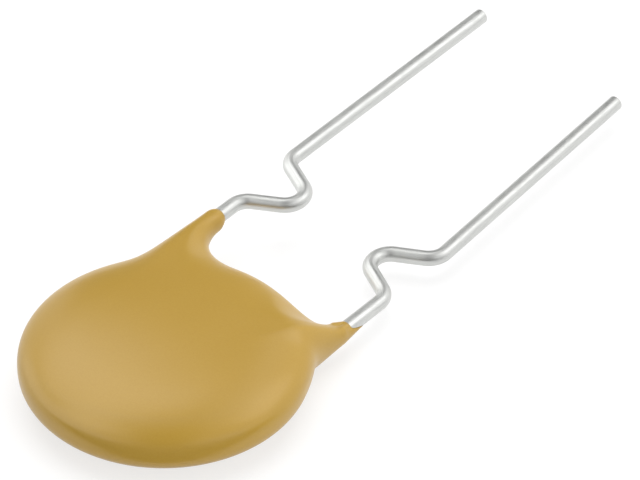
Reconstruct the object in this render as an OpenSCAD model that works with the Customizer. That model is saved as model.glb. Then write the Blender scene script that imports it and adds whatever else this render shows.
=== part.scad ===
// Radial-leaded resettable fuse. A thin polymer chip lies between two metal foils, a round wire lead is
// soldered to each face, and a dipped epoxy coat covers it all and draws out into a leg along each lead.
// Millimetres. Origin at the disc's centre on the flat underside it lies on, +Y along the leads, +Z up.

/* [Coat] */
// Diameter of the coated disc
coat_d = 9.45; // [9:0.05:12]
// Thickness of the coated disc, without the swell of its upper face
coat_t = 2.2; // [2:0.05:3.2]
// Swell of the upper face at the disc's centre
crown = 0.3; // [0:0.02:0.5]
// Distance from the rim in to where the rounded edge meets the face
edge_depth = 2.6; // [2:0.05:3]
// Fullness of the rounded edge: 1 gives an ellipse, less gives a squarer shoulder
edge_power = 0.8; // [0.7:0.02:1]

/* [Coat legs] */
// Length of the left leg past the back of the rim
left_leg_l = 1.6; // [1:0.05:2]
// Length of the right leg past the back of the rim
right_leg_l = 0.6; // [0.5:0.05:2]
// Length of the thin tail that the coat leaves along the right wire
right_tail_l = 0.6; // [0:0.05:0.8]
// Angle round the wire at which the tail lies, upward from the wire's outer side
tail_toward = -38; // [-60:1:0]
// Thickness of the coat on the wire where a leg's lip starts
leg_film = 0.1; // [0.05:0.01:0.15]
// Thickness of the coat at the edge of a lip
lip_film = 0.03; // [0.02:0.005:0.04]
// Length over which a lip tapers down to the wire
lip_l = 0.4; // [0.1:0.05:0.5]
// Distance inside the back of the rim at which the coat starts to fall toward a leg's end
fall_depth = 2; // [1.4:0.05:2.4]
// Angle from +Y at which a leg's outer side leaves the rim
outer_angle = 68; // [60:1:74]
// Angle from +Y at which a leg's inner side leaves the rim
inner_angle = 10; // [6:1:18]
// How far a leg's outer side keeps on along the rim
outer_rim_pull = 1.35; // [0.6:0.05:1.6]
// How far a leg's outer side runs along the wire
outer_wire_pull = 3.4; // [2:0.05:3.8]
// How far a leg's inner side keeps on along the rim
inner_rim_pull = 1.35; // [0.8:0.05:1.5]
// How far a leg's inner side runs along the wire, as a share of the leg's length
inner_wire_share = 0.53; // [0.3:0.01:0.8]
// How far a leg's two ridges keep on round the face
ridge_rim_pull = 0.6; // [0.3:0.05:1]
// How far a leg's two ridges run along the wire
ridge_wire_pull = 2.4; // [1.6:0.05:3]

/* [Leads] */
// Diameter of the lead wire
wire_d = 0.51; // [0.4:0.01:0.6]
// Spacing of the two leads where they leave the coat
exit_pitch = 6.2; // [5.4:0.05:6.4]
// Spacing of the two leads just past the kinks
end_pitch = 6.35; // [5:0.05:7.6]
// Length of the leads past the back of the rim
lead_l = 15.3; // [10:0.1:30]
// Inward lean of the left lead's straight end
left_lean = 0; // [-5:0.1:5]
// Inward lean of the right lead's straight end
right_lean = 3.4; // [-5:0.1:5]

/* [Kink] */
// Distance from the back of the rim to the corner where the kink starts
kink_start = 2.65; // [2.4:0.05:5]
// Length along the lead of each of the kink's two slopes
kink_slope_l = 1.25; // [1:0.05:2]
// Depth of the kink to the point where its slopes would meet
kink_depth = 2.24; // [1.5:0.02:2.4]
// Radius of each bend, to the middle of the wire
bend_r = 0.67; // [0.4:0.01:0.8]
// How much a bend draws the wire thinner, on its radius
bend_thinning = 0.005; // [0.003:0.001:0.02]

/* [Chip and solder] */
// Diameter of the chip and of its foils
chip_d = 8.2; // [7.8:0.1:8.6]
// Thickness of the polymer chip
chip_t = 0.16; // [0.1:0.01:0.3]
// Thickness of each foil
foil_t = 0.025; // [0.02:0.005:0.05]
// Thickness of the solder between a foil and its wire
solder_film = 0.03; // [0.02:0.005:0.06]
// Thickness of the solder over the wire
solder_cover = 0.05; // [0.03:0.01:0.1]
// Half width of a solder joint on its foil
solder_half_w = 0.55; // [0.45:0.05:0.7]
// Length of a solder joint
solder_l = 3; // [2.4:0.1:3.6]
// Height of the solder's edge on the foil
solder_toe = 0.05; // [0.03:0.01:0.1]
// Length of wire held in the solder
soldered_l = 2.5; // [1.5:0.1:2.8]
// Gap that keeps bonded faces apart
bond_gap = 0.005; // [0.003:0.001:0.01]

/* [Hidden] */
$fn = 64;
left = -1;
right = 1;
rim_r = coat_d / 2;
flat_r = rim_r - edge_depth;
mid_z = coat_t / 2;
wire_r = wire_d / 2;
leg_r = wire_r + leg_film;
exit_x = exit_pitch / 2;
end_x = end_pitch / 2;
tip_y = rim_r + lead_l;
foil_face = chip_t / 2 + foil_t;
wire_height = foil_face + solder_film + wire_r;
buried_y = solder_l / 2 - soldered_l;
// angle by which a bend reaches into the runs beside it
bend_lap = 3;
// steps of the coat's surface: along a leg, across it, up each half of its edge, across the back,
// round the front and out over the upper face
leg_steps = 12;
tongue_steps = 6;
edge_steps = 7;
back_steps = 6;
front_steps = 60;
face_steps = 6;
top_row = 2 * edge_steps;
// power that narrows the tail to one side of the wire
tail_power = 3;
// angle at which the solder's slope meets its round top
solder_top_from = 20;
solder_top_step = 10;

// the left lead lies on the chip's upper face and the right one on its lower face
function lead_z(side) = mid_z - side * wire_height;
function lean(side) = side == left ? left_lean : right_lean;
function leg_l(side) = side == left ? left_leg_l : right_leg_l;
// only the right leg has a tail
function tail_l(side) = side == right ? right_tail_l : 0;

// plan directions, with angles from +Y toward +X
function heading(angle) = [sin(angle), cos(angle)];
function rim_heading(angle) = [cos(angle), -sin(angle)];
function mix(from, to, share) = (1 - share) * from + share * to;
function clamp(share) = min(max(share, 0), 1);
function ease(share) = share * share * (3 - 2 * share);
function bezier(p, t) = pow(1 - t, 3) * p[0] + 3 * pow(1 - t, 2) * t * p[1]
    + 3 * (1 - t) * t * t * p[2] + t * t * t * p[3];
function unit(v) = v / norm(v);

// lists of points
function reversed(list) = [for (k = [len(list) - 1 : -1 : 0]) list[k]];
function closed(row) = concat(row, [row[0]]);

// plan point on a leg's wire where its lip starts
function leg_end(side) = [side * exit_x, rim_r + leg_l(side) - lip_l];

// share of the way from the disc's full thickness to a leg's end, at a plan point
function leg_share(plan, side) =
    let (fallen = clamp(1 - norm(plan - leg_end(side)) / (leg_l(side) - lip_l + fall_depth)))
    fallen * fallen * (2 - fallen);
function crown_z(plan) = crown * pow(clamp(1 - pow(norm(plan) / rim_r, 2)), 2);

// a point of the coat's surface at a plan point, with height -1 on the lower face, 0 at the edge
// and 1 on the upper face
function coat_point(plan, height) =
    let (side = plan[0] < 0 ? left : right)
    let (share = leg_share(plan, side))
    let (z = mix(mid_z, lead_z(side), share) + height * mix(mid_z, leg_r, share))
    [plan[0], plan[1], z + (height > 0 ? crown_z(plan) : 0)];

// a column of the coat's surface, from its ridge below, out round its edge and in to its ridge above
function column(edge, ridge, power) = [
    for (step = [-edge_steps : edge_steps])
        let (rise = 90 * step / edge_steps)
        coat_point(mix(ridge, edge, pow(cos(rise), power)), sign(step) * pow(abs(sin(rise)), power))
];
function disc_column(angle) = column(rim_r * heading(angle), flat_r * heading(angle), edge_power);

// a curve in plan from a given radius and angle on the disc to a leg's end, offset across the wire
function leg_curve(side, outer, radius, rim_pull, wire_pull, across, t) =
    let (angle = outer ? outer_angle : inner_angle)
    let (start = radius * heading(angle))
    let (handle = (outer ? -rim_pull : rim_pull) * rim_heading(angle))
    let (end = [exit_x + across, leg_end(side)[1]])
    let (p = bezier([start, start + handle, end - [0, wire_pull], end], t))
    [side * p[0], p[1]];
function leg_edge(side, outer, t) = outer
    ? leg_curve(side, true, rim_r, outer_rim_pull, outer_wire_pull, leg_r, t)
    : leg_curve(side, false, rim_r, inner_rim_pull, inner_wire_share * leg_l(side), -leg_r, t);
function leg_ridge(side, outer, t) = leg_curve(side, outer, flat_r, ridge_rim_pull, ridge_wire_pull, 0, t);
function leg_columns(side, outer) = [
    for (k = [0 : leg_steps])
        let (t = k / leg_steps)
        column(leg_edge(side, outer, t), leg_ridge(side, outer, t), mix(edge_power, 1, ease(t)))
];

// the columns in two runs, counterclockwise seen from above: between the legs, and round the front
back_disc = [for (k = [1 : back_steps - 1]) disc_column(inner_angle * (1 - 2 * k / back_steps))];
front_disc = [
    for (k = [1 : front_steps - 1])
        disc_column(180 + (180 - outer_angle) * (1 - 2 * k / front_steps))
];
back_run = concat(reversed(leg_columns(right, false)), back_disc, leg_columns(left, false));
front_run = concat(reversed(leg_columns(left, true)), front_disc, leg_columns(right, true));

// points across a leg's upper or lower face between its ridges, from -X to +X
function leg_rib(side, t, height) =
    let (west = leg_ridge(side, side == left, t))
    let (east = leg_ridge(side, side == right, t))
    [for (k = [0 : tongue_steps]) coat_point(mix(west, east, k / tongue_steps), height)];
function leg_ribs(side, height) = [for (k = [0 : leg_steps]) leg_rib(side, k / leg_steps, height)];

// rings of the disc's upper or lower face, from its centre out to the ridges
function face_rim(height) = concat(
    reversed(leg_rib(right, 0, height)), [for (c = back_disc) c[0]],
    reversed(leg_rib(left, 0, height)), [for (c = front_disc) c[0]]
);
function face_rings(height, steps) = [
    for (k = [0 : steps])
        closed([for (p = face_rim(height)) coat_point([p[0], p[1]] * (k / steps), height)])
];

// rings of a leg's lip: the leg's round end, the thin edge on the wire, and the middle of the wire there
function leg_end_ring(side) =
    let (east = leg_columns(side, side == right)[leg_steps])
    let (west = leg_columns(side, side == left)[leg_steps])
    concat(east, [for (row = [top_row - 1 : -1 : 1]) west[row]]);
function lip_point(side, p) =
    let (end = leg_end(side))
    let (out = unit([p[0] - end[0], p[2] - lead_z(side)]))
    let (facing = max(0, out * [side * cos(tail_toward), sin(tail_toward)]))
    let (off = (wire_r + lip_film) * out)
    [end[0] + off[0], end[1] + lip_l + tail_l(side) * pow(facing, tail_power), lead_z(side) + off[1]];
function lip_rings(side) =
    let (ring = leg_end_ring(side))
    let (middle = [leg_end(side)[0], leg_end(side)[1] + lip_l, lead_z(side)])
    [closed(ring), closed([for (p = ring) lip_point(side, p)]), closed([for (p = ring) middle])];

// triangles between rows of points: seen from outside, each row runs up, to the right of the one before
function row_triangles(a, b) = [
    for (k = [0 : len(a) - 2])
        each [[a[k], a[k + 1], b[k + 1]], [a[k], b[k + 1], b[k]]]
];
function triangles(rows) = [for (k = [0 : len(rows) - 2]) each row_triangles(rows[k], rows[k + 1])];
// a triangle has area where no two of its corners meet
function has_area(t) = t[0] != t[1] && t[1] != t[2] && t[2] != t[0];
coat_triangles = concat(
    triangles(back_run),
    triangles(front_run),
    triangles(face_rings(1, face_steps)),
    triangles(reversed(face_rings(-1, 1))),
    [for (side = [left, right]) each concat(
        triangles(reversed(leg_ribs(side, 1))), triangles(leg_ribs(side, -1)), triangles(lip_rings(side)))]
);
coat_facets = [for (t = coat_triangles) if (has_area(t)) t];

// half of the solder's section, from the middle of its foot, with room all round
function solder_half(room) = concat(
    [[0, -room], [solder_half_w + room, -room], [solder_half_w + room, solder_toe + room]],
    [for (a = [solder_top_from : solder_top_step : 90])
        [0, solder_film + wire_r] + (wire_r + solder_cover + room) * [cos(a), sin(a)]]
);
function mirrored(points) = [for (k = [len(points) - 1 : -1 : 0]) [-points[k][0], points[k][1]]];

// the middle of the wire: buried end, three corners and tip, for a lead on the +X side
function wire_corners(side) =
    let (kink_y = rim_r + kink_start)
    let (past_y = kink_y + 2 * kink_slope_l)
    let (tip_x = end_x - (tip_y - past_y) * tan(lean(side)))
    [[exit_x, buried_y], [exit_x, kink_y], [exit_x - kink_depth, kink_y + kink_slope_l],
     [end_x, past_y], [tip_x, tip_y]];
function run_heading(p, k) = unit(p[k + 1] - p[k]);
function bearing(v) = atan2(v[1], v[0]);
// signed turn at a corner, left positive, and the length that its bend takes from each side
function turn_at(p, k) =
    let (before = run_heading(p, k - 1))
    let (after = run_heading(p, k))
    atan2(before[0] * after[1] - before[1] * after[0], before * after);
function bend_cut(p, k) = k == 0 || k == len(p) - 1 ? 0 : bend_r * tan(abs(turn_at(p, k)) / 2);

// puts a shape on the chip's face that carries a side's lead, seen from that face outward
module on_face(side) {
    translate([side * exit_x, 0, mid_z])
        rotate([0, side == left ? 0 : 180, 0])
            children();
}

module solder_mound(room) {
    straight = solder_l - 2 * solder_half_w;
    half = solder_half(room);
    translate([0, 0, foil_face]) {
        rotate([90, 0, 0])
            linear_extrude(height = straight, center = true)
                polygon(concat(half, mirrored(half)));
        for (end = [0, 180])
            rotate([0, 0, end])
                translate([0, straight / 2, 0])
                    rotate_extrude(angle = 180)
                        polygon(half);
    }
}

// a straight hole for the wire, from its buried end to a given distance along +Y
module wire_bore(to_y) {
    translate([0, buried_y - bond_gap, wire_height])
        rotate([-90, 0, 0])
            cylinder(h = to_y - buried_y + bond_gap, r = wire_r + bond_gap);
}

module coat_form() {
    corners = [for (k = [0 : len(coat_facets) - 1]) 3 * k];
    polyhedron(points = [for (t = coat_facets) each t], faces = [for (k = corners) [k, k + 1, k + 2]]);
}

module solder(side) {
    color([0.62, 0.63, 0.64])
        on_face(side)
            difference() {
                solder_mound(0);
                wire_bore(solder_l);
            }
}

module foil(low_z) {
    color([0.72, 0.70, 0.66])
        translate([0, 0, low_z])
            cylinder(h = foil_t, d = chip_d);
}

// one straight run and one bend of a lead, both about the middle of the wire
module wire_run(p, k) {
    from = p[k] + bend_cut(p, k) * run_heading(p, k);
    to = p[k + 1] - bend_cut(p, k + 1) * run_heading(p, k);
    translate([from[0], from[1], 0])
        rotate([0, 90, bearing(run_heading(p, k))])
            cylinder(h = norm(to - from), r = wire_r);
}

module wire_bend(p, k) {
    turn = turn_at(p, k);
    inward = unit(run_heading(p, k) - run_heading(p, k - 1));
    centre = p[k] + inward * bend_r / cos(turn / 2);
    begin = p[k] - bend_cut(p, k) * run_heading(p, k - 1) - centre;
    translate([centre[0], centre[1], 0])
        rotate([0, 0, bearing(begin) + min(turn, 0) - bend_lap])
            rotate_extrude(angle = abs(turn) + 2 * bend_lap)
                translate([bend_r, 0])
                    circle(r = wire_r - bend_thinning);
}

module lead(side) {
    corners = wire_corners(side);
    p = [for (c = corners) [side * c[0], c[1]]];
    color([0.80, 0.80, 0.79])
        translate([0, 0, lead_z(side)]) {
            for (k = [0 : len(p) - 2])
                wire_run(p, k);
            for (k = [1 : len(p) - 2])
                wire_bend(p, k);
        }
}

module epoxy_coat() {
    stack_t = 2 * (foil_face + bond_gap);
    color([0.75, 0.62, 0.34])
        difference() {
            coat_form();
            translate([0, 0, mid_z - stack_t / 2])
                cylinder(h = stack_t, d = chip_d + 2 * bond_gap);
            for (side = [left, right])
                on_face(side) {
                    solder_mound(bond_gap);
                    wire_bore(rim_r + leg_l(side) + tail_l(side) + leg_film);
                }
        }
}

module ptc_chip() {
    color([0.13, 0.13, 0.14])
        translate([0, 0, mid_z - chip_t / 2])
            cylinder(h = chip_t, d = chip_d);
}

module top_foil() { foil(mid_z + chip_t / 2); }
module bottom_foil() { foil(mid_z - foil_face); }
module top_solder() { solder(left); }
module bottom_solder() { solder(right); }
module left_lead() { lead(left); }
module right_lead() { lead(right); }

epoxy_coat();
ptc_chip();
top_foil();
bottom_foil();
top_solder();
bottom_solder();
left_lead();
right_lead();
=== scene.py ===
"""Looks of a radial-leaded resettable fuse: an epoxy coat drawn out along two kinked, tinned wire leads."""

import math

import bmesh
import bpy
from mathutils import Matrix, Vector


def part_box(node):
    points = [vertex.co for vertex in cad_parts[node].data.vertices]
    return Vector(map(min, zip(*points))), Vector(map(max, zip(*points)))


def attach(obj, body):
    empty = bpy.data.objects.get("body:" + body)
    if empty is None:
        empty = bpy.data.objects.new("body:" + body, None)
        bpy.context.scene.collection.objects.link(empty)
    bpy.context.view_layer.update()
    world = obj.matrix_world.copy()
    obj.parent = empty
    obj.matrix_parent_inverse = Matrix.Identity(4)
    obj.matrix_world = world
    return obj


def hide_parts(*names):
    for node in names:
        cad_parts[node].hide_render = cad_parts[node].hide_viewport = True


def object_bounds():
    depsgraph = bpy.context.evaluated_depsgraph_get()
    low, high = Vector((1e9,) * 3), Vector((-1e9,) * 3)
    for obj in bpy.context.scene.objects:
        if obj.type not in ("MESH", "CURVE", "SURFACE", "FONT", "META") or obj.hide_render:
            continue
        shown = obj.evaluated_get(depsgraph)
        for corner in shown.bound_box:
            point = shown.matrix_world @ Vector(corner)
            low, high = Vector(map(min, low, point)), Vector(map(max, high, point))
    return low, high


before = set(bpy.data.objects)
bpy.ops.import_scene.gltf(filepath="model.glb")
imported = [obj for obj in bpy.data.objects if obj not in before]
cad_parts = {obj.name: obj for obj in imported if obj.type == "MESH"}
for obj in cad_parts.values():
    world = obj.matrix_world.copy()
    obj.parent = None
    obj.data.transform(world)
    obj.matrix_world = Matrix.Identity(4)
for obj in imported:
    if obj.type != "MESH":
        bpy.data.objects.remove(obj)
cad_low, cad_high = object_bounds()

# Unit and sides
MM = 0.001
LEFT = -1
RIGHT = 1

# Coat, in millimetres and degrees, at the sizes of the part
EDGE_DEPTH = 2.6
EDGE_POWER = 0.8
CROWN = 0.3
LEG_FILM = 0.1
LEG_L = {LEFT: 1.6, RIGHT: 0.6}
LIP_L = 0.4
TAIL_L = {LEFT: 0.0, RIGHT: 0.6}
TAIL_TOWARD = -38
TAIL_POWER = 3
OUTER_ANGLE = 68
INNER_ANGLE = 10
FALL_DEPTH = 2.0
INNER_RIM_PULL = 1.35
INNER_WIRE_SHARE = 0.53
RIDGE_RIM_PULL = 0.6
RIDGE_WIRE_PULL = 2.4

# Outer sides of the legs, in millimetres: the left one as on the part, the right one a little fuller
OUTER_RIM_PULL = {LEFT: 1.35, RIGHT: 1.8}
OUTER_WIRE_PULL = {LEFT: 3.4, RIGHT: 2.15}

# Lips, finer than on the part: the left one is rounded, and both end in a thinner film, in millimetres
LIP_POWER = {LEFT: 2.5, RIGHT: 1.0}
LIP_EDGE = 0.006

# Leads, in millimetres and degrees, at the sizes of the part
EXIT_X = 3.1
END_X = 3.175
KINK_Y = 7.375
KINK_SLOPE_L = 1.25
KINK_DEPTH = 2.24
BEND_R = 0.67
LEAN = {LEFT: 0.0, RIGHT: 3.4}

# Rounding of the wires' cut ends, in millimetres
TIP_ROUND = 0.035

# Steps of the coat's mesh, and the decimals of a millimetre to which its points are told apart
LEG_STEPS = 48
TONGUE_STEPS = 16
EDGE_STEPS = 28
BACK_STEPS = 24
FRONT_STEPS = 200
FACE_RINGS = 24
LIP_STEPS = 8
SAME_PLACE_DIGITS = 5

# Steps of the wires' meshes, with the length of a step along a straight run in millimetres
WIRE_SIDES = 40
BEND_RINGS = 20
TIP_STEPS = 4
RUN_STEP = 0.3

# Colours of the materials between which their noise runs, in display values from 0 to 255
EPOXY_PALE = ((176, 140, 48), (181, 145, 54))
EPOXY_DARK = ((173, 136, 43), (178, 141, 50))
TIN = ((200, 201, 199), (216, 217, 214))
POLYMER = ((24, 24, 26), (52, 51, 53))
FOIL = ((186, 180, 168), (205, 200, 190))
SOLDER = ((165, 167, 170), (196, 197, 198))
WHITE = (1, 1, 1, 1)

# Noise: the spans of its values that are used, the height of bumps in metres, and the streaks of a drawn wire
WIDE_SPAN = (0.15, 0.85)
MIDDLE_SPAN = (0.3, 0.7)
SPECK_SPAN = (0.35, 0.7)
BUMP_HEIGHT = 0.00001
ALONG_WIRE = "along_wire"
STREAK_STRETCH = (1.0, 1.0, 0.12)

# View of the photograph: degrees, pixels of a 640 wide frame, and millimetres on the sensor
VIEW_AZIMUTH = 39.698
VIEW_ELEVATION = 39.676
VIEW_ROLL = 0.128
FOCAL_PIXELS = 8000
FRAME_W_PIXELS = 640
SENSOR_W = 36

# Where the camera sees the origin, in millimetres, and the nearest distance that it shows, in metres
ORIGIN_IN_VIEW = Vector((-4.948, -4.726, -256.045))
CLIP_START = 0.01

# Floor, in metres: what it shows is a glow and a shaded white, and what it throws back is its bounce
FLOOR_SIZE = 4.0
FLOOR_DROP = 0.00002
FLOOR_GLOW = 0.7
FLOOR_SHADE = 0.34
FLOOR_BOUNCE = 0.65

# World: the light that it gives, and the white that it shows
WORLD_LIGHT = 0.34
WORLD_WHITE = 1.0

# Lamps: name, azimuth and elevation in degrees, width and height in metres, glow, and whether gloss shows it
LAMP_DISTANCE = 0.35
LAMPS = (
    ("left_low", -85, 18, 0.75, 0.2, 0.9, True),
    ("right_low", 77, 17, 0.75, 0.2, 2.15, False),
    ("front_fill", -10, 8, 0.6, 0.2, 1.0, False),
    ("overhead", 180, 60, 0.4, 0.4, 2.3, False),
)

# Bright cards, which show in gloss alone: name, azimuth, elevation, width, height and glow
CARDS = (
    ("left_high", -142, 57, 0.28, 0.26, 2.1),
    ("left_side", -75, 48, 0.2, 0.2, 2.3),
    ("right_high", 102, 45, 0.24, 0.18, 2.3),
)

# Dark card that leans away from the front of the rim, in metres and degrees
FRONT_CARD_START = 0.0053
FRONT_CARD_TILT = 22
FRONT_CARD_W = 0.2
FRONT_CARD_L = 0.32
FRONT_CARD_GLOW = 0.05

# Grey arch over the object, in metres
ARCH_R = 0.8
ARCH_HALF_W = 0.22
ARCH_STEPS = 36
ARCH_GLOW = 0.2

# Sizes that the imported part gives, in millimetres
coat_low, coat_high = (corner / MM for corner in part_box("epoxy_coat"))
RIM_R = (coat_high.x - coat_low.x) / 2
FLAT_R = RIM_R - EDGE_DEPTH
MID_Z = (coat_low.z + coat_high.z - CROWN) / 2
lead_boxes = {
    side: [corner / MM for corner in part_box(name)]
    for side, name in ((LEFT, "left_lead"), (RIGHT, "right_lead"))
}
LEAD_Z = {side: (low.z + high.z) / 2 for side, (low, high) in lead_boxes.items()}
WIRE_R = (lead_boxes[LEFT][1].z - lead_boxes[LEFT][0].z) / 2
LEG_R = WIRE_R + LEG_FILM
LEG_END_Y = {side: RIM_R + LEG_L[side] - LIP_L for side in (LEFT, RIGHT)}
BURIED_Y = lead_boxes[LEFT][0].y
TIP_Y = lead_boxes[LEFT][1].y


# Plain helpers


def mix(start, end, share):
    return start + (end - start) * share


def clamp(share):
    return min(max(share, 0.0), 1.0)


def ease(share):
    return share * share * (3 - 2 * share)


def heading(angle):
    """Direction in plan at an angle from +Y toward +X, in degrees."""
    return Vector((math.sin(math.radians(angle)), math.cos(math.radians(angle))))


def rim_heading(angle):
    """Direction along the rim at that angle, toward larger angles."""
    return Vector((math.cos(math.radians(angle)), -math.sin(math.radians(angle))))


def bezier(p, t):
    s = 1 - t
    return s * s * s * p[0] + 3 * s * s * t * p[1] + 3 * s * t * t * p[2] + t * t * t * p[3]


def add_mesh(name, points, faces, material, smooth=True):
    """A new object from points in millimetres, with its faces turned outward."""
    mesh = bpy.data.meshes.new(name)
    mesh.from_pydata([Vector(p) * MM for p in points], [], faces)
    mesh.validate()
    sides = bmesh.new()
    sides.from_mesh(mesh)
    bmesh.ops.recalc_face_normals(sides, faces=sides.faces)
    sides.to_mesh(mesh)
    sides.free()
    mesh.materials.append(material)
    if smooth:
        mesh.shade_smooth()
    else:
        mesh.shade_flat()
    piece = bpy.data.objects.new(name, mesh)
    bpy.context.scene.collection.objects.link(piece)
    return piece


def add_rectangle(name, width, length, z, material):
    """A flat rectangle round the Z axis, with its sizes in metres."""
    x, y = width / 2 / MM, length / 2 / MM
    corners = [(-x, -y, z / MM), (x, -y, z / MM), (x, y, z / MM), (-x, y, z / MM)]
    return add_mesh(name, corners, [[0, 1, 2, 3]], material, smooth=False)


# Form of the coat


def leg_share(plan, side):
    """Share of the way from the disc's full thickness to a leg's end, at a plan point."""
    left_to_end = math.hypot(plan.x - side * EXIT_X, plan.y - LEG_END_Y[side])
    fallen = clamp(1 - left_to_end / (LEG_L[side] - LIP_L + FALL_DEPTH))
    return fallen * fallen * (2 - fallen)


def crown_z(radius):
    """How far the upper face stands above a flat one, at a radius from the disc's centre."""
    return CROWN * clamp(1 - (radius / RIM_R) ** 2) ** 2


def coat_point(plan, height):
    """A point of the coat: height is -1 on the lower face, 0 at the edge and 1 on the upper face."""
    side = LEFT if plan.x < 0 else RIGHT
    share = leg_share(plan, side)
    edge_z = mix(MID_Z, LEAD_Z[side], share)
    reach = mix(MID_Z, LEG_R, share)
    crown = crown_z(plan.length) if height > 0 else 0.0
    return Vector((plan.x, plan.y, edge_z + reach * height + crown))


def column(edge, ridge, power):
    """Points of the coat from its lower face, round the edge and onto its upper face."""
    points = []
    for step in range(-EDGE_STEPS, EDGE_STEPS + 1):
        rise = math.pi / 2 * step / EDGE_STEPS
        out = abs(math.cos(rise)) ** power if abs(step) < EDGE_STEPS else 0.0
        height = math.copysign(abs(math.sin(rise)) ** power, step)
        points.append(coat_point(mix(ridge, edge, out), height))
    return points


def disc_column(angle):
    return column(heading(angle) * RIM_R, heading(angle) * FLAT_R, EDGE_POWER)


def back_columns():
    """Columns of the disc between the legs' inner sides."""
    return [disc_column(INNER_ANGLE * (1 - 2 * k / BACK_STEPS)) for k in range(1, BACK_STEPS)]


def front_columns():
    """Columns of the disc round its front, between the legs' outer sides."""
    sweep = 180 - OUTER_ANGLE
    return [disc_column(180 + sweep * (1 - 2 * k / FRONT_STEPS)) for k in range(1, FRONT_STEPS)]


def leg_curve(side, outer, radius, rim_pull, wire_pull, across, share):
    """Plan point on a curve that leaves the disc along its rim and meets a leg's end along the wire."""
    angle = OUTER_ANGLE if outer else INNER_ANGLE
    start = heading(angle) * radius
    handle = rim_heading(angle) * (-rim_pull if outer else rim_pull)
    end = Vector((EXIT_X + across, LEG_END_Y[side]))
    p = bezier([start, start + handle, end - Vector((0, wire_pull)), end], share)
    return Vector((side * p.x, p.y))


def leg_edge(side, outer, share):
    """Plan point of a leg's edge, at a share of the way out to its end."""
    if outer:
        return leg_curve(side, True, RIM_R, OUTER_RIM_PULL[side], OUTER_WIRE_PULL[side], LEG_R, share)
    wire_pull = INNER_WIRE_SHARE * LEG_L[side]
    return leg_curve(side, False, RIM_R, INNER_RIM_PULL, wire_pull, -LEG_R, share)


def leg_ridge(side, outer, share):
    """Plan point of a leg's ridge, at a share of the way out to its end."""
    return leg_curve(side, outer, FLAT_R, RIDGE_RIM_PULL, RIDGE_WIRE_PULL, 0, share)


def leg_columns(side, outer):
    """Columns of a leg's outer or inner side, from the disc to the leg's end."""
    columns = []
    for k in range(LEG_STEPS + 1):
        share = k / LEG_STEPS
        power = mix(EDGE_POWER, 1.0, ease(share))
        columns.append(column(leg_edge(side, outer, share), leg_ridge(side, outer, share), power))
    return columns


def tongue_rib(side, k, height):
    """Points across a leg's upper or lower face, from its outer ridge to its inner one."""
    outer = leg_ridge(side, True, k / LEG_STEPS)
    inner = leg_ridge(side, False, k / LEG_STEPS)
    return [coat_point(mix(outer, inner, m / TONGUE_STEPS), height) for m in range(TONGUE_STEPS + 1)]


class CoatMesh:
    """Gathers the coat's points and faces, with points at the same place shared."""

    def __init__(self):
        self.points = []
        self.faces = []
        self.known = {}

    def point(self, place):
        key = tuple(round(value, SAME_PLACE_DIGITS) for value in place)
        if key not in self.known:
            self.known[key] = len(self.points)
            self.points.append(Vector(place))
        return self.known[key]

    def strip(self, first, second):
        """Faces between two lines of points."""
        for k in range(len(first) - 1):
            corners = [first[k], first[k + 1], second[k + 1], second[k]]
            unique = list(dict.fromkeys(self.point(c) for c in corners))
            if len(unique) > 2:
                self.faces.append(unique)

    def band(self, first, second):
        """Faces between two closed rings of points."""
        self.strip(first + first[:1], second + second[:1])

    def sheet(self, lines):
        """Faces between each line of points and the next."""
        for one, after in zip(lines, lines[1:]):
            self.strip(one, after)


def add_lip(coat, side, ring):
    """Tapers a leg's end down to the wire and carries the bore in to the wire's buried end."""
    centre = Vector((side * EXIT_X, LEG_END_Y[side], LEAD_Z[side]))
    toward = math.radians(TAIL_TOWARD)
    last = ring
    for k in range(1, LIP_STEPS + 1):
        made = []
        for p in ring:
            start = Vector((p.x - centre.x, 0, p.z - centre.z))
            out = start.normalized()
            facing = max(0.0, side * out.x * math.cos(toward) + out.z * math.sin(toward))
            reach = Vector((0, LIP_L + TAIL_L[side] * facing ** TAIL_POWER, 0))
            off = mix(start, out * (WIRE_R + LIP_EDGE), (k / LIP_STEPS) ** LIP_POWER[side])
            made.append(centre + off + reach * k / LIP_STEPS)
        coat.band(last, made)
        last = made
    bore = [Vector((p.x, BURIED_Y - LIP_EDGE, p.z)) for p in last]
    coat.band(last, bore)
    coat.faces.append([coat.point(p) for p in bore])


def add_face(coat, rim, height):
    """Fills the disc's upper or lower face from its rim in to the middle."""
    last = rim
    for k in range(FACE_RINGS - 1, -1, -1):
        made = [coat_point(Vector((p.x, p.y)) * k / FACE_RINGS, height) for p in rim]
        coat.band(last, made)
        last = made


def epoxy_coat(material):
    coat = CoatMesh()
    outer = {side: leg_columns(side, True) for side in (RIGHT, LEFT)}
    inner = {side: leg_columns(side, False) for side in (RIGHT, LEFT)}
    coat.sheet(inner[RIGHT][::-1] + back_columns() + inner[LEFT])
    coat.sheet(outer[LEFT][::-1] + front_columns() + outer[RIGHT])
    for side in (RIGHT, LEFT):
        add_lip(coat, side, outer[side][-1] + inner[side][-1][-2:0:-1])
    # A column starts on the lower face and ends on the upper one
    for height, row in ((-1, 0), (1, -1)):
        for side in (RIGHT, LEFT):
            coat.sheet([tongue_rib(side, k, height) for k in range(LEG_STEPS + 1)])
        rim = tongue_rib(RIGHT, 0, height) + [c[row] for c in back_columns()]
        rim += tongue_rib(LEFT, 0, height)[::-1] + [c[row] for c in front_columns()]
        add_face(coat, rim, height)
    return add_mesh("dipped_coat", coat.points, coat.faces, material)


# Form of the leads


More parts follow.
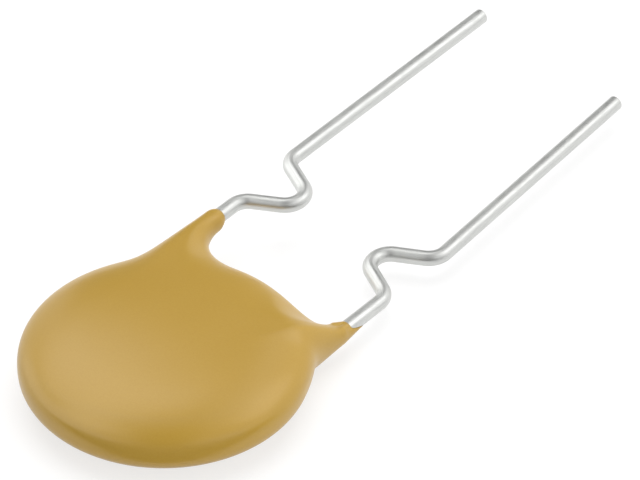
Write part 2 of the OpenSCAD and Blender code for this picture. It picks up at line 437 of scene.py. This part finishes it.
def wire_corners(side):
    """Plan corners of a wire's path, from its buried end to its tip."""
    past_y = KINK_Y + 2 * KINK_SLOPE_L
    tip_x = END_X - (TIP_Y - past_y) * math.tan(math.radians(LEAN[side]))
    return [
        Vector((side * EXIT_X, BURIED_Y)),
        Vector((side * EXIT_X, KINK_Y)),
        Vector((side * (EXIT_X - KINK_DEPTH), KINK_Y + KINK_SLOPE_L)),
        Vector((side * END_X, past_y)),
        Vector((side * tip_x, TIP_Y)),
    ]


def add_run(route, start, end):
    """Adds a straight run to a route of places and headings."""
    way = (end - start).normalized()
    steps = max(1, round((end - start).length / RUN_STEP))
    for k in range(steps + 1):
        route.append((mix(start, end, k / steps), way))


def wire_route(side):
    """Points along the middle of a wire with their headings, the bends as arcs."""
    corners = wire_corners(side)
    route = []
    run_from = corners[0]
    for before, corner, after in zip(corners, corners[1:], corners[2:]):
        inward = (corner - before).normalized()
        outward = (after - corner).normalized()
        turn = math.atan2(inward.x * outward.y - inward.y * outward.x, inward.dot(outward))
        cut = BEND_R * math.tan(abs(turn) / 2)
        bend_from = corner - inward * cut
        add_run(route, run_from, bend_from)
        centre = bend_from + Vector((-inward.y, inward.x)) * math.copysign(BEND_R, turn)
        for k in range(1, BEND_RINGS):
            swing = Matrix.Rotation(turn * k / BEND_RINGS, 2)
            route.append((centre + swing @ (bend_from - centre), swing @ inward))
        run_from = corner + outward * cut
    add_run(route, run_from, corners[-1])
    return route


def wire_rings(side):
    """Centre, heading and radius of each ring of a wire, with both ends rounded off at the cut."""
    route = wire_route(side)
    start, start_way = route[0]
    end, end_way = route[-1]
    turns = [math.pi / 2 * k / TIP_STEPS for k in range(TIP_STEPS + 1)]
    rounded = [(TIP_ROUND * (1 - math.sin(a)), WIRE_R - TIP_ROUND * (1 - math.cos(a))) for a in turns]
    rings = [(start + start_way * back, start_way, radius) for back, radius in reversed(rounded)]
    rings += [(p, way, WIRE_R) for p, way in route[1:-1]]
    rings += [(end - end_way * back, end_way, radius) for back, radius in rounded]
    return rings


def tube_faces(ring_count):
    """Faces of a tube of rings, with a flat face over each end."""
    faces = []
    for k in range(ring_count - 1):
        here, after = k * WIRE_SIDES, (k + 1) * WIRE_SIDES
        for j in range(WIRE_SIDES):
            beside = (j + 1) % WIRE_SIDES
            faces.append([here + j, here + beside, after + beside, after + j])
    faces.append(list(range(WIRE_SIDES - 1, -1, -1)))
    faces.append([(ring_count - 1) * WIRE_SIDES + j for j in range(WIRE_SIDES)])
    return faces


def wire(name, side, material):
    """A wire whose points keep their place round it and along it, for the streaks of its tin."""
    points = []
    along = []
    rings = wire_rings(side)
    travelled = 0.0
    for k, (place, way, radius) in enumerate(rings):
        travelled += (place - rings[k - 1][0]).length if k else 0.0
        for j in range(WIRE_SIDES):
            angle = 2 * math.pi * j / WIRE_SIDES
            out = Vector((way.y, -way.x, 0)) * math.cos(angle) + Vector((0, 0, math.sin(angle)))
            points.append(Vector((place.x, place.y, LEAD_Z[side])) + out * radius)
            along.append((math.cos(angle), math.sin(angle), travelled))
    piece = add_mesh(name, points, tube_faces(len(rings)), material)
    drawn = piece.data.attributes.new(ALONG_WIRE, "FLOAT_VECTOR", "POINT")
    for entry, value in zip(drawn.data, along):
        entry.vector = value
    return piece


# Materials


def linear(red, green, blue):
    """A colour given in display values from 0 to 255, as the shader takes it."""
    return tuple(
        (v / 255 / 12.92 if v / 255 <= 0.04045 else ((v / 255 + 0.055) / 1.055) ** 2.4)
        for v in (red, green, blue)
    ) + (1.0,)


def grey(value):
    return (value, value, value, 1)


def new_material(name):
    material = bpy.data.materials.new(name)
    material.use_nodes = True
    return material, material.node_tree, material.node_tree.nodes["Principled BSDF"]


def empty_tree(owner):
    """The node tree of a material or a world, with no nodes in it."""
    owner.use_nodes = True
    owner.node_tree.nodes.clear()
    return owner.node_tree


def add_node(tree, kind, inputs=None, **settings):
    node = tree.nodes.new(kind)
    for key, value in settings.items():
        setattr(node, key, value)
    for key, value in (inputs or {}).items():
        if isinstance(value, bpy.types.NodeSocket):
            tree.links.new(value, node.inputs[key])
        else:
            node.inputs[key].default_value = value
    return node


def add_noise(tree, place, scale, detail):
    inputs = {"Vector": place, "Scale": scale, "Detail": detail}
    return add_node(tree, "ShaderNodeTexNoise", inputs).outputs["Fac"]


def add_ramp(tree, value, span, colours):
    """A colour that goes from one to another of two as the value crosses a span."""
    ramp = add_node(tree, "ShaderNodeValToRGB", {"Fac": value})
    for element, position, colour in zip(ramp.color_ramp.elements, span, colours):
        element.position = position
        element.color = linear(*colour)
    return ramp.outputs["Color"]


def add_range(tree, value, span, low, high):
    """A number that goes from low to high as the value crosses a span."""
    inputs = {"Value": value, "From Min": span[0], "From Max": span[1], "To Min": low, "To Max": high}
    return add_node(tree, "ShaderNodeMapRange", inputs).outputs["Result"]


def add_bump(tree, height, strength):
    inputs = {"Height": height, "Strength": strength, "Distance": BUMP_HEIGHT}
    return add_node(tree, "ShaderNodeBump", inputs).outputs["Normal"]


def object_place(tree):
    return add_node(tree, "ShaderNodeTexCoord").outputs["Object"]


def link_shader(tree, shader, colour, roughness, normal):
    tree.links.new(colour, shader.inputs["Base Color"])
    tree.links.new(roughness, shader.inputs["Roughness"])
    tree.links.new(normal, shader.inputs["Normal"])


def epoxy_material():
    material, tree, shader = new_material("dipped_epoxy")
    place = object_place(tree)
    clouds = add_noise(tree, place, scale=170, detail=3.0)
    grain = add_noise(tree, place, scale=16000, detail=3.0)
    pale = add_ramp(tree, clouds, WIDE_SPAN, EPOXY_PALE)
    dark = add_ramp(tree, clouds, WIDE_SPAN, EPOXY_DARK)
    share = add_range(tree, grain, MIDDLE_SPAN, low=0.0, high=1.0)
    colour = add_node(tree, "ShaderNodeMix", {"Factor": share, "A": dark, "B": pale}, data_type="RGBA")
    roughness = add_range(tree, clouds, WIDE_SPAN, low=0.25, high=0.35)
    normal = add_bump(tree, grain, strength=0.06)
    link_shader(tree, shader, colour.outputs["Result"], roughness, normal)
    shader.inputs["IOR"].default_value = 1.56
    return material


def tinned_material():
    material, tree, shader = new_material("tinned_wire")
    drawn = add_node(tree, "ShaderNodeAttribute", attribute_name=ALONG_WIRE).outputs["Vector"]
    stretched = add_node(tree, "ShaderNodeMapping", {"Vector": drawn, "Scale": STREAK_STRETCH})
    streaks = add_noise(tree, stretched.outputs["Vector"], scale=9.0, detail=4.0)
    spots = add_noise(tree, object_place(tree), scale=2600, detail=3.0)
    colour = add_ramp(tree, streaks, MIDDLE_SPAN, TIN)
    roughness = add_range(tree, spots, MIDDLE_SPAN, low=0.36, high=0.46)
    normal = add_bump(tree, streaks, strength=0.2)
    link_shader(tree, shader, colour, roughness, normal)
    shader.inputs["Metallic"].default_value = 1.0
    return material


def polymer_material():
    material, tree, shader = new_material("filled_polymer")
    specks = add_noise(tree, object_place(tree), scale=9000, detail=4.0)
    colour = add_ramp(tree, specks, SPECK_SPAN, POLYMER)
    roughness = add_range(tree, specks, MIDDLE_SPAN, low=0.55, high=0.75)
    normal = add_bump(tree, specks, strength=0.3)
    link_shader(tree, shader, colour, roughness, normal)
    return material


def metal_material(name, colours, scale, low, high):
    """A grained metal, with the scale of its grain and the lowest and highest roughness."""
    material, tree, shader = new_material(name)
    grain = add_noise(tree, object_place(tree), scale, detail=4.0)
    colour = add_ramp(tree, grain, MIDDLE_SPAN, colours)
    roughness = add_range(tree, grain, MIDDLE_SPAN, low, high)
    normal = add_bump(tree, grain, strength=0.25)
    link_shader(tree, shader, colour, roughness, normal)
    shader.inputs["Metallic"].default_value = 1.0
    return material


# The pieces


def add_pieces():
    coat = epoxy_coat(epoxy_material())
    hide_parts("epoxy_coat")
    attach(coat, "root")
    tinned = tinned_material()
    for name, side in (("left_lead", LEFT), ("right_lead", RIGHT)):
        lead = wire(name + "_wire", side, tinned)
        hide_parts(name)
        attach(lead, "root")


def dress_inner_nodes():
    """Gives the hidden solids their materials, and leaves their shapes as they are."""
    foil = metal_material("nickel_foil", FOIL, scale=12000, low=0.4, high=0.55)
    solder = metal_material("solder", SOLDER, scale=4000, low=0.3, high=0.45)
    dress = {
        "ptc_chip": polymer_material(),
        "top_foil": foil,
        "bottom_foil": foil,
        "top_solder": solder,
        "bottom_solder": solder,
    }
    for name, material in dress.items():
        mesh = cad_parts[name].data
        mesh.materials.clear()
        mesh.materials.append(material)


# Studio


def around(azimuth, elevation, distance):
    """A place round the origin: azimuth is from the camera's side toward the right of the view."""
    a = math.radians(VIEW_AZIMUTH + azimuth)
    e = math.radians(elevation)
    return Vector((math.sin(a) * math.cos(e), -math.cos(a) * math.cos(e), math.sin(e))) * distance


def aimed(place, target):
    """Where a lamp or a card stands and how it is turned, to face a target."""
    turn = (target - place).to_track_quat("-Z", "Y")
    return Matrix.Translation(place) @ turn.to_matrix().to_4x4()


def add_lamp(name, place, target, width, height, glow, glare):
    """A soft lamp, which gloss shows only where glare is true."""
    data = bpy.data.lights.new(name, "AREA")
    data.shape = "RECTANGLE"
    data.size = width
    data.size_y = height
    data.energy = math.pi * width * height * glow
    lamp = bpy.data.objects.new(name, data)
    lamp.visible_glossy = glare
    lamp.matrix_world = aimed(place, target)
    bpy.context.scene.collection.objects.link(lamp)


def glow_material(name, strength):
    material = bpy.data.materials.new(name)
    tree = empty_tree(material)
    glow = add_node(tree, "ShaderNodeEmission", {"Color": WHITE, "Strength": strength})
    add_node(tree, "ShaderNodeOutputMaterial", {"Surface": glow.outputs[0]})
    return material


def show_in_gloss_alone(card):
    card.visible_camera = False
    card.visible_shadow = False
    card.visible_transmission = False
    card.visible_diffuse = False


def add_card(name, place, target, width, height, glow):
    """A plain card that only shows in gloss, and neither lights nor shades the object."""
    card = add_rectangle(name, width, height, 0, glow_material(name, glow))
    card.matrix_world = aimed(place, target)
    show_in_gloss_alone(card)


def add_arch(name, glow):
    """A grey arch in line with the camera, which keeps a dark strip in the gloss between the bright cards."""
    side = around(90, 0, ARCH_HALF_W)
    points = []
    for k in range(ARCH_STEPS + 1):
        middle = around(180, 180 * k / ARCH_STEPS, ARCH_R)
        points += [(middle - side) / MM, (middle + side) / MM]
    faces = [[2 * k, 2 * k + 1, 2 * k + 3, 2 * k + 2] for k in range(ARCH_STEPS)]
    arch = add_mesh(name, points, faces, glow_material(name, glow))
    show_in_gloss_alone(arch)


def seen_rays(tree):
    """One for a ray that shows its target to the camera, straight or by reflection, and else zero."""
    path = add_node(tree, "ShaderNodeLightPath")
    seen = path.outputs["Is Camera Ray"]
    for name in ("Is Glossy Ray", "Is Transmission Ray"):
        inputs = {0: seen, 1: path.outputs[name]}
        seen = add_node(tree, "ShaderNodeMath", inputs, operation="MAXIMUM").outputs["Value"]
    return seen


def add_floor():
    material = bpy.data.materials.new("pale_floor")
    tree = empty_tree(material)
    material.cycles.emission_sampling = "NONE"
    bounce = add_node(tree, "ShaderNodeBsdfDiffuse", {"Color": grey(FLOOR_BOUNCE)})
    shaded = add_node(tree, "ShaderNodeBsdfDiffuse", {"Color": grey(FLOOR_SHADE)})
    glow = add_node(tree, "ShaderNodeEmission", {"Color": WHITE, "Strength": FLOOR_GLOW})
    shown = add_node(tree, "ShaderNodeAddShader", {0: shaded.outputs[0], 1: glow.outputs[0]})
    inputs = {0: seen_rays(tree), 1: bounce.outputs[0], 2: shown.outputs[0]}
    chosen = add_node(tree, "ShaderNodeMixShader", inputs)
    add_node(tree, "ShaderNodeOutputMaterial", {"Surface": chosen.outputs[0]})
    floor = add_rectangle("floor", FLOOR_SIZE, FLOOR_SIZE, cad_low.z - FLOOR_DROP, material)


def add_world():
    world = bpy.data.worlds.new("studio")
    tree = empty_tree(world)
    world.cycles.sampling_method = "NONE"
    ambient = add_node(tree, "ShaderNodeBackground", {"Color": WHITE, "Strength": WORLD_LIGHT})
    white = add_node(tree, "ShaderNodeBackground", {"Color": WHITE, "Strength": WORLD_WHITE})
    inputs = {0: seen_rays(tree), 1: ambient.outputs[0], 2: white.outputs[0]}
    chosen = add_node(tree, "ShaderNodeMixShader", inputs)
    add_node(tree, "ShaderNodeOutputWorld", {"Surface": chosen.outputs[0]})
    bpy.context.scene.world = world


def add_camera():
    back = around(0, VIEW_ELEVATION, 1)
    right = Vector((0, 0, 1)).cross(back).normalized()
    up = back.cross(right)
    turn = Matrix((right, up, back)).transposed() @ Matrix.Rotation(math.radians(VIEW_ROLL), 3, "Z")
    data = bpy.data.cameras.new("camera")
    data.sensor_width = SENSOR_W
    data.lens = SENSOR_W * FOCAL_PIXELS / FRAME_W_PIXELS
    data.clip_start = CLIP_START
    camera = bpy.data.objects.new("camera", data)
    camera.matrix_world = Matrix.Translation(turn @ -ORIGIN_IN_VIEW * MM) @ turn.to_4x4()
    bpy.context.scene.collection.objects.link(camera)
    bpy.context.scene.camera = camera


def add_studio():
    middle = (cad_low + cad_high) / 2
    for name, azimuth, elevation, width, height, glow, glare in LAMPS:
        add_lamp(name, around(azimuth, elevation, LAMP_DISTANCE), middle, width, height, glow, glare)
    for name, azimuth, elevation, width, height, glow in CARDS:
        add_card(name, around(azimuth, elevation, LAMP_DISTANCE), middle, width, height, glow)
    front = around(0, 0, FRONT_CARD_START) + around(0, FRONT_CARD_TILT, FRONT_CARD_L / 2)
    facing = front + around(180, 90 - FRONT_CARD_TILT, 1)
    add_card("front_card", front, facing, FRONT_CARD_W, FRONT_CARD_L, FRONT_CARD_GLOW)
    add_arch("dark_arch", ARCH_GLOW)
    add_floor()
    add_world()
    add_camera()
    bpy.context.scene.view_settings.view_transform = "Standard"


add_pieces()
dress_inner_nodes()
add_studio()
